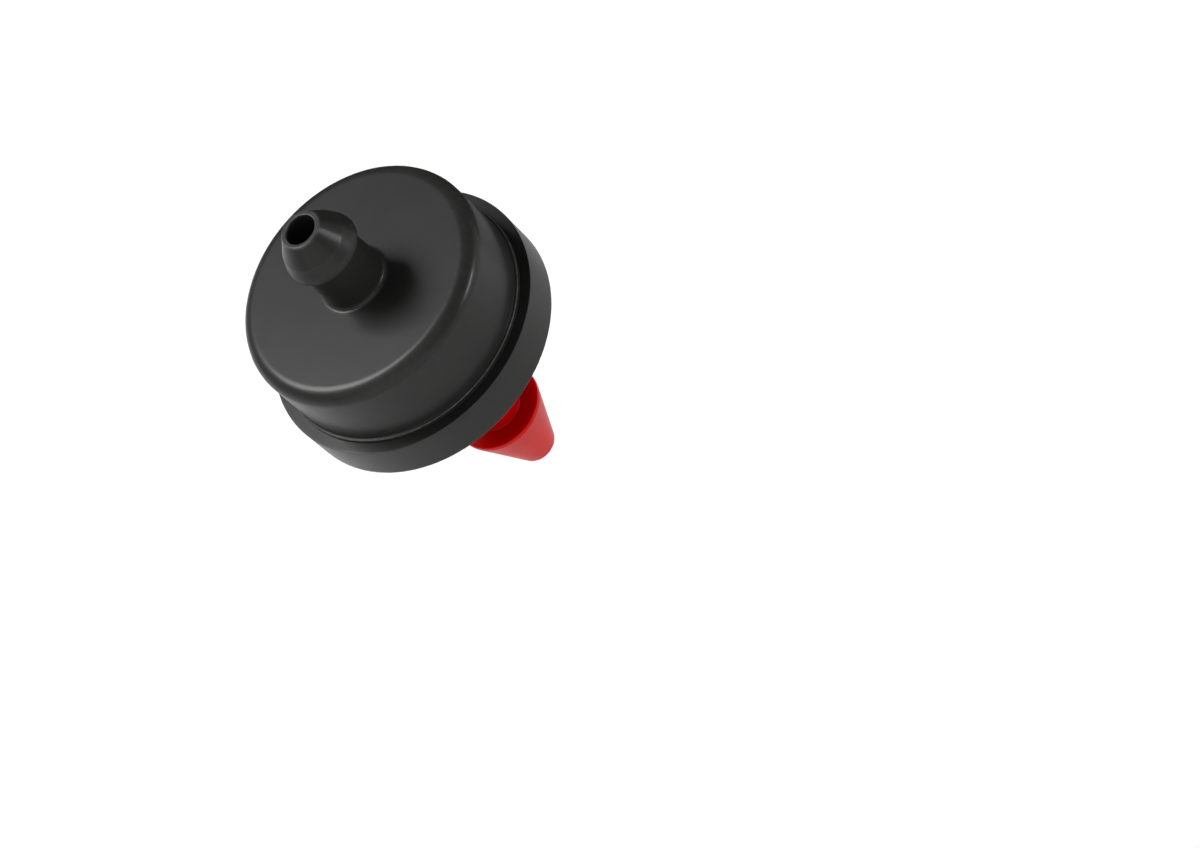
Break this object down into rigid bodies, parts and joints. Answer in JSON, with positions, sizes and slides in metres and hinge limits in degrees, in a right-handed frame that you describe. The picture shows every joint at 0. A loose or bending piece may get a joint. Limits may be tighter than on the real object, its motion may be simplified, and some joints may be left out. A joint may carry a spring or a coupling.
{
  "type": "drip emitter",
  "caption": "Button drip emitter: a domed black cap with a barbed outlet nipple and a flange, a red conical barb inlet, and a diaphragm over a labyrinth inside.",
  "frame": {"origin": "centre of the seat that rests on the supply pipe, on the emitter's axis", "axes": "+Z along the flow, from the inlet barb to the outlet nipple; X and Y are any two directions across it"},
  "size_m": [0.019, 0.019, 0.0306],
  "materials": {
    "cap_plastic": "satin moulded black acetal",
    "inlet_plastic": "satin moulded red acetal",
    "labyrinth_plastic": "natural acetal, moulded",
    "silicone": "translucent silicone rubber"
  },
  "bodies": {
    "housing": {"outlet_cap": "cap_plastic", "inlet_base": "inlet_plastic", "labyrinth_disc": "labyrinth_plastic"},
    "regulator": {"diaphragm": "silicone"}
  },
  "joints": [
    {"name": "diaphragm_lift", "type": "slide", "parent": "housing", "child": "regulator", "axis": [0, 0, 1], "range_m": [0, 0.00035], "stiffness_N_per_m": 120}
  ]
}
